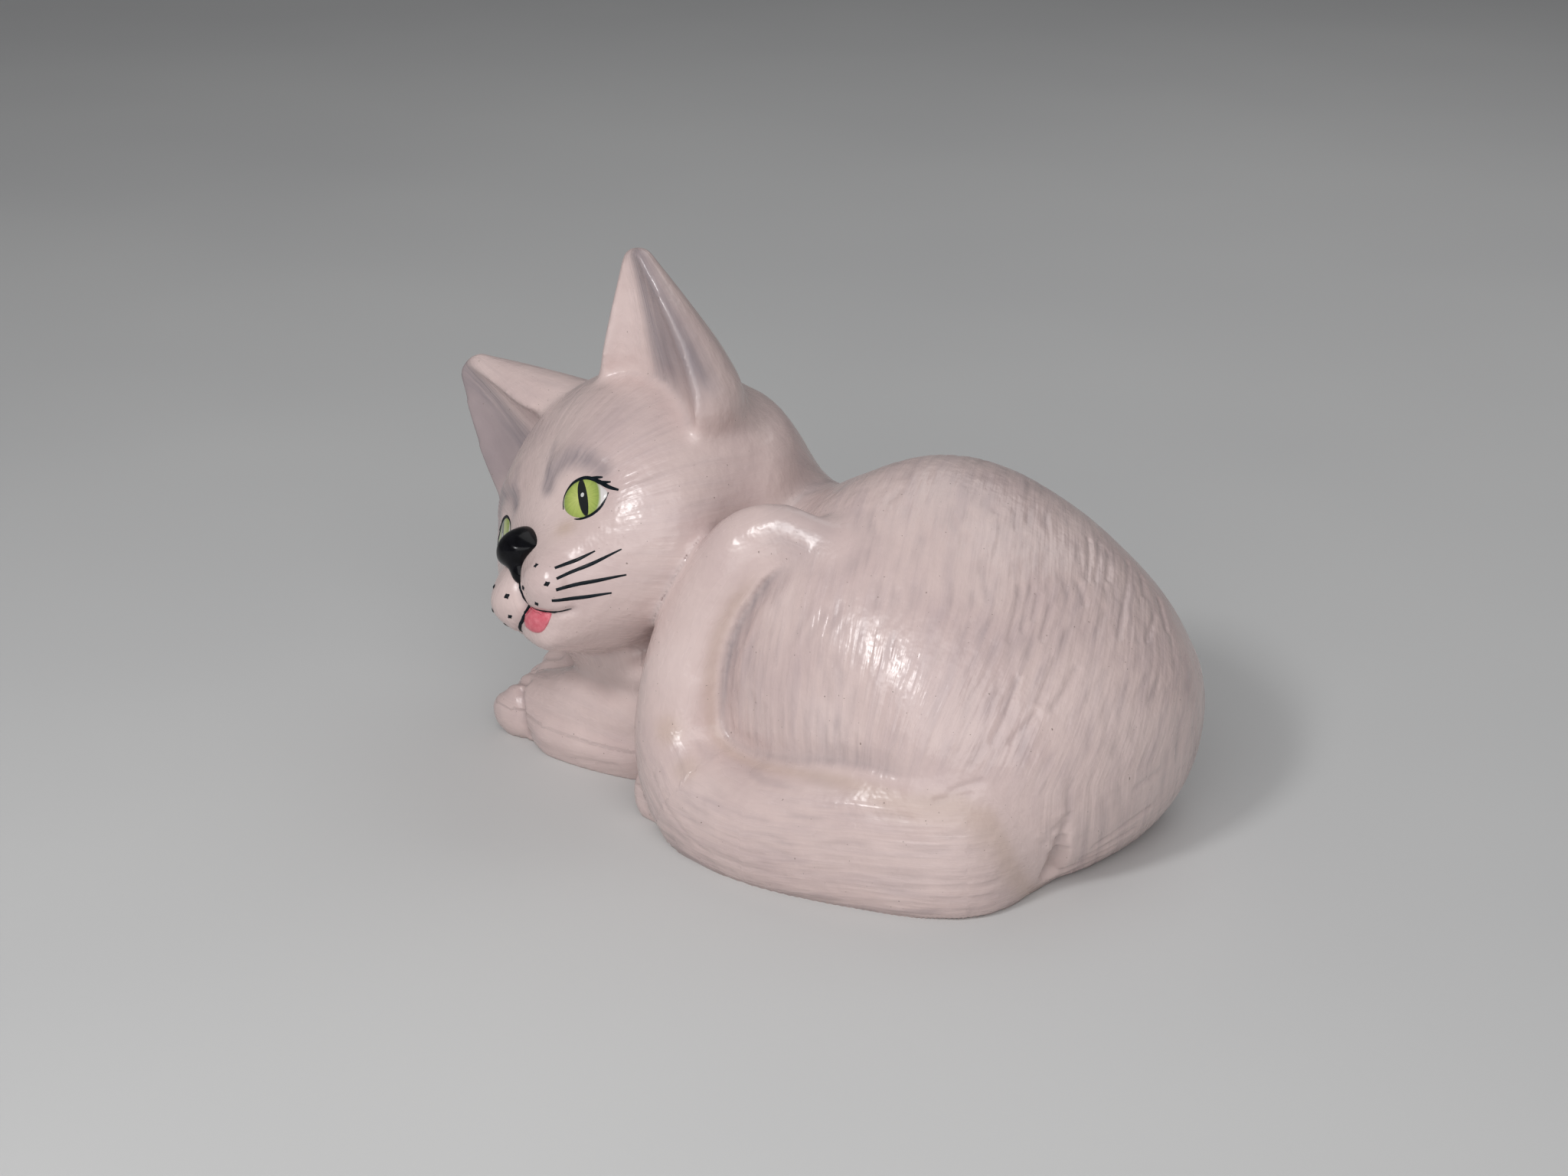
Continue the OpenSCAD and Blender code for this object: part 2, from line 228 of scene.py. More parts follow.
SPONGED = [("tail", "body_shell", 0.009),
           ("left_ear", "head_shell", 0.009), ("right_ear", "head_shell", 0.009),
           ("left_foreleg", "body_shell", 0.010), ("right_foreleg", "body_shell", 0.010),
           ("left_hind_paw", "body_shell", 0.004), ("right_hind_paw", "body_shell", 0.004),
           ("left_foreleg", "head_shell", 0.010)]
joints = np.max([joint(*pair) for pair in SPONGED], axis=0)
tail_root = joint("tail", "body_shell", 0.012)
tail_root *= ease(0.092, 0.104, skin[:, 0])
tail_root *= ease(0.010, 0.030, skin[:, 2])
near_tail = ease(0.011, 0.002, gap_to("tail")) * ease(0, 0.0025, gap_to("tail")) * on_body
near_tail *= ease(0.105, 0.085, skin[:, 0])
near_tail *= 1 - near_to(skin, (0.042, -0.031, 0.102), 0.026)
near_tail *= 0.4 + 0.6 * ease(0.035, 0.065, skin[:, 2])
neck = meet("head_shell", "body_shell", 0.024) * ~on_ear
neck *= np.where(on_tail, ease(0.008, 0.002, gap_to("head_shell")), 1)
throat = np.maximum(meet("left_foreleg", "head_shell", 0.012), near_to(skin, (-0.070, -0.044, 0.036), 0.020))
tip = near_to(skin, (0.036, -0.034, 0.100), 0.028)
corner = near_to(skin, (0.014, -0.060, 0.036), 0.018)
root = near_to(skin, (0.112, -0.034, 0.018), 0.030)

# %% Rounded joints
LEVELS = 20
TUNED_GRAIN = 0.00095
FLAT_BELOW = 0.0006
FLATS_OFF = [1.0, 0.6, 0.5, 0.5, 0.35, 0.2, 0.2, 0.2, 0.2]
PASSES = [("neck", 320, np.max([neck, throat, tail_root], axis=0)),
          ("bend", 120, np.max([tip, corner, root], axis=0) * (on_body | on_tail)),
          ("joint", 60, joints * np.where(on_tail, 0.6, 1)),
          ("form", 60, np.choose(owner, FLATS_OFF))]


def weigh(obj, name, weight):
    group = obj.vertex_groups.new(name=name)
    steps = np.round(weight * LEVELS).astype(int)
    for level in range(1, LEVELS + 1):
        group.add(np.flatnonzero(steps == level).tolist(), level / LEVELS, "REPLACE")


# The rounds were chosen at the tuned grain. A coarser one needs fewer for the same reach.
for name, rounds, weight in PASSES:
    weigh(casting, name, weight)
    rounds = int(rounds * (TUNED_GRAIN / GRAIN) ** 2)
    modify(casting, "SMOOTH", factor=0.5, iterations=rounds, vertex_group=name)
casting.vertex_groups.clear()
skin = places(casting.data)
skin[:, 2] = np.where(skin[:, 2] < FLAT_BELOW, 0, skin[:, 2])
move_to(casting.data, skin)
print("sponged in", len(PASSES), "passes")

# %% [markdown]
# ## The head's own directions
# The face is easiest to lay out as on a globe: degrees to the side of the nose line and
# degrees above the middle, seen from the middle of the head, which is tipped and nods.

# %% Head globe
HEAD = Vector((-0.046686, -0.027254, 0.0825))
TURN = (Matrix.Rotation(math.radians(2), 3, "Z") @ Matrix.Rotation(math.radians(-32.5), 3, "Y")
        @ Matrix.Rotation(math.radians(-7.5), 3, "X"))


def toward(side, up):
    a, b = math.radians(side), math.radians(up)
    return TURN @ Vector((math.sin(a) * math.cos(b), -math.cos(a) * math.cos(b), math.sin(b)))


def head_degrees(co):
    q = (co - np.array(HEAD)) @ np.array(TURN)
    sideways = np.arctan2(q[:, 0], -q[:, 1])
    upward = np.arctan2(q[:, 2], np.hypot(q[:, 0], q[:, 1]))
    return np.degrees(sideways), np.degrees(upward)


print("nose line points to", [round(v, 2) for v in toward(0, 0)])

# %% [markdown]
# ## The lie of the fur
# Comb strokes need two rulers on the skin: one across the hairs and one along them. On
# the body they fall from a parting along the back and sweep forward low down, on the tail
# they follow its length, on the head they spread back from the nose.

# %% Rulers for the comb
PARTING = 0.066
TAIL = np.array([(109, -2, 23), (108, -30, 23), (83, -47, 22), (51, -59, 18), (23, -60, 19), (7, -57, 32),
                 (5, -53, 54), (9, -48, 75), (19, -41, 95), (31, -34, 102), (45, -30, 99)]) / 1000


def back_rulers(co):
    aside = np.abs(co[:, 1] - PARTING)
    x, y = co[:, 0] + 0.08, PARTING - aside - 0.22
    turn = np.arctan2(0.74 * x + 0.67 * y, 0.67 * x - 0.74 * y)
    sweep = 0.35 * np.clip(0.09 - co[:, 2], 0, 0.05) * ease(0.07, 0.11, co[:, 0])
    return 0.26 * turn + sweep, np.hypot(x, y) - co[:, 2], ease(0, 0.02, aside)


def tail_rulers(co):
    best = np.full(len(co), 9.0)
    across, along = np.zeros(len(co)), np.zeros(len(co))
    run = 0.0
    for a, b in zip(TAIL[:-1], TAIL[1:]):
        length = np.linalg.norm(b - a)
        t = (b - a) / length
        reach = np.clip((co - a) @ t, 0, length)
        off = co - a - reach[:, None] * t
        far = np.linalg.norm(off, axis=1)
        near = far < best
        side = np.cross(t, (0.25, -1, 0))
        across = np.where(near, off @ side / np.linalg.norm(side), across)
        along = np.where(near, run + (co - a) @ t, along)
        best = np.minimum(best, far)
        run += length
    return across, along, 0.12 + 0.88 * ease(0.150, 0.120, along)


def head_rulers(co):
    q = (co - np.array(HEAD)) @ np.array(TURN)
    back = np.arctan2(np.hypot(q[:, 0], q[:, 2]), -q[:, 1])
    return np.arctan2(q[:, 0], q[:, 2]) * 0.046, back * 0.05, 0.7 * ease(0.62, 1.1, back)


def ear_rulers(co):
    q = (co - np.array(HEAD)) @ np.array(TURN)
    q[:, 0] = np.abs(q[:, 0])
    reach = np.array((0.386, -0.248, 0.888))
    q = q - (0.030, 0.003, 0.029)
    up_ear = q @ reach
    off = q - up_ear[:, None] * reach
    turn = np.arctan2(off @ np.cross(reach, (0.38, -0.92, 0)), off @ (0.38, -0.92, 0))
    return 0.014 * turn, up_ear, np.full(len(co), 0.5)


def leg_rulers(co):
    middle = co[:, 1].mean()
    return np.arctan2(co[:, 2] - 0.012, co[:, 1] - middle) * 0.016, co[:, 0], np.full(len(co), 0.35)


RULERS = [back_rulers, head_rulers, ear_rulers, ear_rulers, tail_rulers] + [leg_rulers] * 4
across, along, hairy = np.zeros(len(skin)), np.zeros(len(skin)), np.zeros(len(skin))
for k, rulers in enumerate(RULERS):
    mine = owner == k
    across[mine], along[mine], hairy[mine] = rulers(skin[mine])
hairy *= 1 - 0.85 * np.maximum(joints, neck)
print("rulers laid on", len(RULERS), "solids")

# %% [markdown]
# ## Combing the clay
# The deeper marks are real hollows, because they catch the light from every side: lanes
# of short strokes, each with its own start, depth and drift. The finest hairs are left
# for the glaze, where a bump can be far finer than the mesh.

# %% Comb strokes
def chance(*keys):
    mixed = sum(np.asarray(key) * weight for key, weight in zip(keys, (12.9898, 78.233, 37.719)))
    return np.modf(np.abs(np.sin(mixed) * 43758.5453))[0]


def comb(lane, length, seed):
    drift = across + 0.3 * lane * np.sin(along * 80 + seed) + 0.2 * lane * np.sin(along * 190 + across * 60)
    k = np.floor(drift / lane)
    f = drift / lane - k - 0.5
    run = along / length + 9 * chance(k, seed)
    j = np.floor(run)
    g = run - j
    off = np.clip((f - 0.3 * (chance(k, j, seed) - 0.5)) / 0.42, -1, 1)
    groove = 0.5 + 0.5 * np.cos(math.pi * off)
    return groove * ease(0, 0.25, g) * ease(1, 0.5, g) * ease(0.2, 0.9, chance(k, j, seed + 3))


marks = 0.5 * comb(0.0030, 0.014, 1.0) + 0.7 * comb(0.0047, 0.024, 2.0)
marks *= hairy * np.where(on_ear, 0.4, np.where(on_head, 0.6, 1.0))
depth = 0.00034 * marks * ease(0.001, 0.004, skin[:, 2])
print("deepest stroke %.2f mm" % (depth.max() * 1000))

# %% [markdown]
# ## Tool lines
# Some lines were drawn one by one with a pointed tool: between the toes, along the foreleg
# and at the edge of the tail. A wider loop tool cut the long gouges on the rump, the folds
# low on it and the notch at the tail root, in three strokes that get thinner upward. Each
# has a reach, a depth and a path of points in millimetres that is laid on the skin, and the
# skin sinks close to it. Two dents and a chip from use are made in the same way, as a path
# with one point. The foreleg's side and one toe swell, and the flank sinks beside the tail.

# %% Tool lines
def beside(co, path, radius):
    path = np.array(path) / 1000
    best = np.linalg.norm(co - path[0], axis=1)
    for a, b in zip(path[:-1], path[1:]):
        t = np.clip(((co - a) @ (b - a)) / ((b - a) @ (b - a)), 0, 1)
        best = np.minimum(best, np.linalg.norm(co - a - t[:, None] * (b - a), axis=1))
    return ease(radius, 0, best)


def toe_lines(tip, heading, width, high):
    out = np.array((-math.cos(math.radians(heading)), -math.sin(math.radians(heading)), 0))
    across_paw = np.array((out[1], -out[0], 0))
    lines = []
    for k in (-0.68, 0, 0.68):
        at = np.array(tip) + across_paw * width * k - out * 3 * abs(k)
        lines.append([at - out * 13 + (0, 0, high), at - out * 5 + (0, 0, 0.93 * high),
                      at + (0, 0, 0.55 * high), at + (0, 0, 1)])
    return lines


TOOL = [(0.0024, 0.0017, [(-78, -56.5, 18.5), (-74, -59, 13.5), (-72.4, -59, 7.5), (-72, -57.5, 2)]),
        (0.0012, 0.0004, [(-54, -56, 3.9), (-42, -54.5, 5.9), (-32, -51.3, 7.2)]),
        (0.0011, 0.0004, [(12, -75, 24.8), (20, -76.5, 17), (30, -76.5, 10.5), (40, -76, 7)])]
TOOL += [(0.0030, 0.0016, line) for line in toe_lines((-93, -46, 0), 0, 10, 19)]
TOOL += [(0.0026, 0.0009, line) for line in toe_lines((-102, -28.5, 0), 14, 10, 19)]
GOUGES = [
    [(88, 43.5, 94), (95, 35.5, 91.5), (100, 28.5, 89)], [(89, 47.5, 92), (101, 31.5, 88)],
    [(91.5, 49, 89.5), (101, 37, 86)], [(94, 56, 84.5), (107, 38.5, 80.5), (115.5, 26, 75)],
    [(98.5, 57.5, 80.5), (105, 51, 78)], [(105, 59.5, 74), (114.5, 51, 69)],
    [(111, 49.5, 73.5), (118.5, 36.5, 71)], [(101, 23.5, 88.5), (105.5, 21, 84.5)],
    [(95, 3, 92), (98.5, -2, 88.5), (103.5, -11, 81)],
    [(96.5, 6.5, 91.5), (99.5, 0.5, 88), (103.5, -5.5, 83)],
    [(99, 6.5, 89.5), (103, 0, 85)], [(102.5, 8.5, 86.5), (107.5, -1, 80)],
    [(110, -15, 72), (112.5, -21.5, 65), (113.5, -29, 56.5)],
    [(118.5, -15, 63.5), (117.5, -20, 60), (117, -24.5, 56.5)],
    [(113, -1, 74.5), (115.5, -7, 70.5), (117, -12.5, 66)],
    [(117.5, 3.5, 72), (119.5, -3, 68), (120.5, -10, 64)],
    [(129, -10, 31.5), (128, -12, 29.5), (127, -14, 27)],
    [(128, -9.5, 25), (126.5, -10, 20.5), (124.5, -10, 15)],
    [(122.5, 13.5, 5), (121.5, 6.5, 4), (118.5, -0.5, 2.5)],
    [(134, 26.5, 35.5), (134.5, 19, 34.5), (134, 14.5, 33.5)],
    [(113.5, -34, 45.5), (110, -37, 44), (108, -41, 42.5)],
    [(112.5, -37, 42), (109.5, -41, 41.5), (105.5, -45, 40)]]
DENTS = [(0.0022, 0.0005, [(124.5, -16.5, 22)]), (0.0060, 0.0007, [(133, 8, 48.5)]),
         (0.0030, 0.0003, [(72.5, 16, 107)])]
NOTCH = [(0.0050, 0.0034, [(125.5, -10, 16), (124, -9, 13), (121, -8, 7)]),
         (0.0038, 0.0024, [(127, -11, 22), (125.5, -10, 16)]),
         (0.0026, 0.0013, [(128, -11, 28), (127, -11, 22)])]
FOLDS = [[(126, 15, 9), (124.5, 5, 8), (122, -4, 6)], [(129, 21, 14), (127.5, 12, 13), (125, 2, 10.5)],
         [(131, 25, 22), (130, 15, 20), (127.5, 4, 15)]]
TOOL += [(0.0019, 0.0006, path) for path in GOUGES] + DENTS + NOTCH
TOOL += [(0.0021, 0.0008, path) for path in FOLDS]
plain = normals(casting.data)
wet = tree_of(casting.data)
for radius, sink, path in TOOL:
    path = [np.array(wet.find_nearest(Vector(point) / 1000)[0]) * 1000 for point in path]
    depth = np.maximum(depth, sink * beside(skin, path, radius))
leg_side = ease(-0.076, -0.060, skin[:, 0]) * ease(-0.012, -0.030, skin[:, 0])
leg_side *= ease(0.018, 0.008, skin[:, 2])
leg_side *= ease(0, 0.6, -plain[:, 1])
toe = near_to(skin, (-0.0835, -0.0535, 0.0095), 0.011)
depth -= (0.0016 * toe + 0.0040 * leg_side) * owned("left_foreleg")
depth += 0.0015 * near_tail
print(len(TOOL), "tool lines reach", int((depth > 5e-5).sum()), "points")

# %% [markdown]
# ## Modelling the face
# Whisker pads swell on both sides of a cleft and end at the mouth line, with the chin set
# back below. A brow fold stands over each eye. The lines are laid out on the head globe
# for one side and hold for both, so the distance is taken from the nose line.

# %% Pads, mouth and brows
side, up = head_degrees(skin)


def face_spot(a, b, wide, high):
    return np.exp(-(((np.abs(side) - a) / wide) ** 2 + ((up - b) / high) ** 2)) * on_head


def face_line(path, wide):
    best = np.full(len(skin), 90.0)
    for (a, b), (c, d) in zip(path[:-1], path[1:]):
        u, v = np.abs(side) - a, up - b
        t = np.clip((u * (c - a) + v * (d - b)) / ((c - a) ** 2 + (d - b) ** 2), 0, 1)
        best = np.minimum(best, np.hypot(u - t * (c - a), v - t * (d - b)))
    return ease(wide, 0, best) * on_head


BROW = [(14, 18.5), (16, 22), (20.5, 24.5), (26.5, 25.5), (33, 24), (38, 20.5), (42.5, 15)]
OVER_BROW = [(a, b + 4) for a, b in BROW[1:]]
PAD_CLEFT = [(0, -12), (0, -22.3)]
SMILE = [(0, -22.3), (4.5, -24.3), (9, -26), (13, -27.6), (17, -28.8)]
over_mouth = ease(-0.5, 1.5, up + 22.6 + 0.38 * np.abs(side))
pads = face_spot(9.5, -16.5, 9.5, 7.5) * over_mouth
chin = face_spot(0, -35, 9, 5)
brow = face_line(BROW, 8)
depth += 0.0012 * face_line(PAD_CLEFT, 3.2) + 0.0011 * face_line(SMILE, 2.4) + 0.0003 * face_line(BROW, 3.2)
depth -= 0.0028 * pads + 0.0004 * face_line(OVER_BROW, 5) + 0.0008 * chin
skin = skin - plain * depth[:, None]
skin[:, 2] = np.maximum(skin[:, 2], 0)
move_to(casting.data, skin)
print("pads, mouth and brows modelled")

# %% [markdown]
# ## Where the wash, the painted shade and the stain lie
# A thin grey-lilac wash was brushed over and wiped back, so it stays in the hollows, in
# the ears and round the eyes. Inside the ears the same grey is partly that wash and partly
# painted shade of the hollow, and on the flank beside the tail it is painted shade where the
# tail shadows it. Age has left ochre in the creases. All are painted as weights on the
# points: how hollow a place is, plus soft spots set out on the head globe.

# %% Hollows
def pairs(mesh):
    ends = np.empty(len(mesh.edges) * 2, dtype=int)
    mesh.edges.foreach_get("vertices", ends)
    return ends.reshape(-1, 2)


edge = pairs(casting.data)
share = np.bincount(edge.ravel(), minlength=len(skin)).astype(float)


def spread(values, rounds):
    for _ in range(rounds):
        total = np.zeros_like(values)
        np.add.at(total, edge[:, 0], values[edge[:, 1]])
        np.add.at(total, edge[:, 1], values[edge[:, 0]])
        values = total / (share[:, None] if values.ndim > 1 else share)
    return values


skin = places(casting.data)
outward = normals(casting.data)
crisp = spread(plain, 8)
riser = on_tail * ease(0.135, 0.155, along) * (1 - tip)
even = spread(crisp, 32)
even = even + riser[:, None] * (crisp - even)
even /= np.linalg.norm(even, axis=1)[:, None]
soft = np.where(on_body, 1 - 0.8 * near_tail, np.where(on_tail, 1, 0))
shading = outward + soft[:, None] * (even - plain)
fine_hollow = ((spread(skin, 3) - skin) * outward).sum(axis=1)
broad_hollow = ((spread(skin, 40) - skin) * outward).sum(axis=1)
print("hollows from %.2f to %.2f mm" % (broad_hollow.min() * 1000, broad_hollow.max() * 1000))

# %% Soft spots of wash and stain
ear_up, ear_turned = np.zeros(len(skin)), np.zeros(len(skin))
ear_turned[on_ear], ear_up[on_ear], _ = ear_rulers(skin[on_ear])
in_head = outward @ np.array(TURN)
faces_front = 0.38 * in_head[:, 0] * np.sign(side) - 0.92 * in_head[:, 1]
# Inside the ears the grey is partly real wash and partly painted shade of the hollow.
ear_inside = on_ear * ease(0.1, 0.6, faces_front)
ear_inside *= ease(0.002, 0.018, ear_up)
ear_inside *= ease(-0.013, 0.006, ear_turned)
FOREHEAD = [(13, 18), (15, 27), (18, 36)]
# Grey weights: real wash in the hollows, comb marks, brows, forehead and tail tip, plus painted shade inside
# the ears and on the flank beside the tail.
wash_and_shade = (0.30 * ease(0.00002, 0.0003, fine_hollow) + 0.35 * marks
        + 0.30 * ease(0.0002, 0.0022, broad_hollow) * ~on_ear + 0.8 * brow + ear_inside
        # painted shade on the flank beside the tail, where the tail shadows it
        + 0.5 * near_tail * ease(0.030, 0.045, skin[:, 2])
        + 0.35 * near_to(skin, (0.036, -0.034, 0.104), 0.016)
        + 0.45 * face_line(FOREHEAD, 5) + 0.25 * face_spot(33, 30, 16, 8))
riser_edge = on_tail * ease(0.008, 0.004, gap_to("body_shell")) * ease(0.001, 0.003, gap_to("body_shell"))
riser_edge *= ease(0.010, 0.018, skin[:, 0])
under_eye = face_spot(22.5, -2.5, 4.5, 2.5)
creases = ease(0.0008, 0.003, broad_hollow) * ~on_head
stain = (0.9 * under_eye + 0.45 * riser_edge * ease(0.092, 0.080, skin[:, 2]) + 0.6 * creases
         + 0.5 * near_to(skin, (0.013, -0.069, 0.039), 0.007)
         + 0.4 * near_to(skin, (0.024, -0.071, 0.030), 0.006))
wash_and_shade, stain = np.clip(spread(wash_and_shade, 1), 0, 1), np.clip(spread(stain, 3), 0, 1)
print("wash %.2f, stain %.2f on average" % (wash_and_shade.mean(), stain.mean()))

# %% [markdown]
# ## Back to one piece for each solid
# The library wants the same named pieces as the solids, so the skin is parted where the
# owner changes. Solidify gives each patch a wall, as thick as the casting allows there,
# and the hidden inner face is thinned because nobody sees it. The shading normals of the
# whole skin are kept on every patch, so the parting lines don't show.

# %% Parting the skin
quads = np.array([p.vertices[:] for p in casting.data.polygons])
quad_owner = np.sort(owner[quads], axis=1)
quad_owner = np.where(quad_owner[:, 1] == quad_owner[:, 2], quad_owner[:, 1], quad_owner[:, 0])
WALL = {"body_shell": 0.004, "head_shell": 0.004, "tail": 0.003, "left_ear": 0.0005, "right_ear": 0.0005}
THIN_WALL = 0.002
KEPT_SHARE = 0.555
skin_tree = tree_of(casting.data)


def attribute(mesh, name, kind, values):
    data = mesh.attributes.new(name, kind, "POINT").data
    key = "vector" if kind == "FLOAT_VECTOR" else "value"
    data.foreach_set(key, np.ascontiguousarray(values, dtype=np.float32).ravel())


def patch(k, name):
    mine = quads[quad_owner == k]
    used, local = np.unique(mine, return_inverse=True)
    mesh = bpy.data.meshes.new(name + "_glaze")
    mesh.from_pydata(skin[used].tolist(), [], local.reshape(-1, 4).tolist())
    ruler = RULERS[k](skin[used])
    attribute(mesh, "fur", "FLOAT_VECTOR", np.column_stack((ruler[0], ruler[1], hairy[used])))
    attribute(mesh, "wash_and_shade", "FLOAT", wash_and_shade[used])
    attribute(mesh, "stain", "FLOAT", stain[used])
    attribute(mesh, "facing", "FLOAT_VECTOR", shading[used])
    piece = bpy.data.objects.new(name + "_glaze", mesh)
    bpy.context.scene.collection.objects.link(piece)
    piece.vertex_groups.new(name="inner")
    modify(piece, "SOLIDIFY", thickness=WALL.get(name, THIN_WALL), offset=-1, use_rim=True,
           shell_vertex_group="inner")
    modify(piece, "DECIMATE", ratio=KEPT_SHARE, vertex_group="inner", vertex_group_factor=1000)
    pick(piece)
    bpy.ops.object.shade_smooth()
    facing = np.empty(len(piece.data.vertices) * 3, dtype=np.float32)
    piece.data.attributes["facing"].data.foreach_get("vector", facing)
    facing = facing.reshape(-1, 3) / np.linalg.norm(facing.reshape(-1, 3), axis=1)[:, None].clip(1e-6)
    own = normals(piece.data)
    keep = (facing * own).sum(axis=1) > 0.3
    piece.data.normals_split_custom_set_from_vertices(np.where(keep[:, None], facing, own).tolist())
    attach(piece, "root")
    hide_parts(name)
    return piece


glazed = {name: patch(k, name) for k, name in enumerate(CLAY)}
bpy.data.objects.remove(casting)
for name, piece in glazed.items():
    print(name, sum(len(p.vertices) - 2 for p in piece.data.polygons), "triangles")

# %% [markdown]
# ## The glaze
# Satin white glaze over pinkish clay: a broad cloudiness, brushed streaks of lilac-grey
# that follow the fur rulers, the weights of wash and painted shade, the stain weights, and a scatter of iron
# specks.
# The streaks also drive a fine bump, so the gloss breaks up along the hairs.

# %% Glaze nodes
def material(name, **sockets):
    m = bpy.data.materials.new(name)
    m.use_nodes = True
    shader = m.node_tree.nodes["Principled BSDF"]
    for key, value in sockets.items():
        shader.inputs[key.replace("_", " ")].default_value = value
    return m, m.node_tree, shader


def node(tree, kind, **settings):
    n = tree.nodes.new("ShaderNode" + kind)
    for key, value in settings.items():
        if key in n.inputs:
            n.inputs[key].default_value = value
        else:
            setattr(n, key, value)
    return n


def ramp(tree, source, *stops):
    n = tree.nodes.new("ShaderNodeValToRGB")
    bar = n.color_ramp.elements
    while len(bar) < len(stops):
        bar.new(0.5)
    for element, (at, value) in zip(bar, stops):
        element.position = at
        element.color = (value, value, value, 1) if isinstance(value, (int, float)) else (*value, 1)
    tree.links.new(source, n.inputs["Fac"])
    return n.outputs["Color"]


def blend(tree, kind, factor, a, b):
    n = tree.nodes.new("ShaderNodeMix")
    n.data_type, n.blend_type = "RGBA", kind
    for socket, value in ((n.inputs[0], factor), (n.inputs[6], a), (n.inputs[7], b)):
        if isinstance(value, bpy.types.NodeSocket):
            tree.links.new(value, socket)
        else:
            socket.default_value = value if isinstance(value, (int, float)) else (*value, 1)
    return n.outputs[2]


def math_of(tree, kind, a, b):
    n = tree.nodes.new("ShaderNodeMath")
    n.operation = kind
    for socket, value in zip(n.inputs, (a, b)):
        if isinstance(value, bpy.types.NodeSocket):
            tree.links.new(value, socket)
        else:
            socket.default_value = value
    return n.outputs[0]


def noise(tree, vector, scale, detail=2.0, rough=0.5):
    n = node(tree, "TexNoise", Scale=scale, Detail=detail, Roughness=rough)
    tree.links.new(vector, n.inputs["Vector"])
    return n.outputs["Fac"]


def stretched(tree, vector, across, along):
    n = node(tree, "Mapping", Scale=(across, along, 0.0))
    tree.links.new(vector, n.inputs["Vector"])
    return n.outputs["Vector"]


glaze, g, shine = material("satin_glaze", Specular_IOR_Level=0.5)
fur = node(g, "Attribute", attribute_name="fur").outputs["Vector"]
where = node(g, "TexCoord").outputs["Object"]
hair = noise(g, stretched(g, fur, 520, 36), 1.0, 2.0, 0.5)
streak = noise(g, stretched(g, fur, 240, 30), 1.0, 2.0, 0.5)
cloud = noise(g, where, 26, 4.0, 0.55)
print("glaze rulers linked")

# %% Glaze colour and gloss
wash_and_shade_weight = node(g, "Attribute", attribute_name="wash_and_shade").outputs["Fac"]
stained = node(g, "Attribute", attribute_name="stain").outputs["Fac"]
clay = ramp(g, cloud, (0.34, (0.60, 0.465, 0.45)), (0.52, (0.66, 0.52, 0.495)), (0.68, (0.70, 0.56, 0.535)))
split_fur = node(g, "SeparateXYZ")
g.links.new(fur, split_fur.inputs[0])
combed = split_fur.outputs["Z"]
brushed = math_of(g, "MULTIPLY", ramp(g, streak, (0.48, 0.0), (0.70, 0.25)), combed)
colour = blend(g, "MIX", brushed, clay, (0.46, 0.37, 0.385))
fine = math_of(g, "MULTIPLY", ramp(g, hair, (0.52, 0.0), (0.74, 0.22)), combed)
colour = blend(g, "MIX", fine, colour, (0.39, 0.31, 0.315))
# The grey of the wash, and of the painted shade inside the ears and beside the tail.
hairy_wash_and_shade = math_of(g, "MULTIPLY", wash_and_shade_weight, ramp(g, hair, (0.30, 0.6), (0.70, 1.0)))
colour = blend(g, "MIX", hairy_wash_and_shade, colour, (0.28, 0.235, 0.25))
colour = blend(g, "MIX", math_of(g, "MULTIPLY", stained, 0.55), colour, (0.42, 0.29, 0.18))
speck = ramp(g, noise(g, where, 1300, 0.0), (0.85, 0.0), (0.87, 0.8))
colour = blend(g, "MIX", speck, colour, (0.20, 0.15, 0.13))
g.links.new(colour, shine.inputs["Base Color"])
g.links.new(ramp(g, streak, (0.3, 0.20), (0.7, 0.32)), shine.inputs["Roughness"])
strokes = math_of(g, "ADD", math_of(g, "MULTIPLY", hair, 0.55), math_of(g, "MULTIPLY", streak, 0.8))
lumps = math_of(g, "MULTIPLY", noise(g, where, 210, 2.0), 0.7)
height = math_of(g, "ADD", math_of(g, "MULTIPLY", strokes, combed), lumps)
bump = node(g, "Bump", Strength=0.6, Distance=0.0009)
g.links.new(height, bump.inputs["Height"])
g.links.new(bump.outputs["Normal"], shine.inputs["Normal"])
for piece in glazed.values():
    piece.data.materials.append(glaze)
print("glaze has", len(g.nodes), "nodes")

# %% [markdown]
# ## Enamels
# Three enamels are painted over the glaze: black for nose, lids and whiskers, pink for
# the tongue and a yellow-green for the irises. They are glossier than the satin glaze,
# and even a small brush leaves thin and thick places in the colour.

# %% Black and pink enamel
def enamel(name, dark, light, rough, gloss):
    m, t, s = material(name, Coat_Weight=gloss, Coat_Roughness=0.06, Specular_IOR_Level=gloss)
    at = node(t, "TexCoord").outputs["Object"]
    thick = noise(t, at, 420, 3.0, 0.6)
    t.links.new(ramp(t, thick, (0.35, dark), (0.68, light)), s.inputs["Base Color"])
    t.links.new(ramp(t, thick, (0.3, rough), (0.7, rough + 0.12)), s.inputs["Roughness"])
    b = node(t, "Bump", Strength=0.12, Distance=0.0003)
    t.links.new(thick, b.inputs["Height"])
    t.links.new(b.outputs["Normal"], s.inputs["Normal"])
    return m


black = enamel("black_enamel", (0.002, 0.002, 0.003), (0.005, 0.005, 0.007), 0.14, 0.12)
line_black = enamel("line_enamel", (0.002, 0.005, 0.008), (0.008, 0.014, 0.020), 0.45, 0.1)
pink = enamel("pink_enamel", (0.62, 0.11, 0.15), (0.74, 0.21, 0.25), 0.28, 0.3)
print("enamels:", black.name, line_black.name, pink.name)

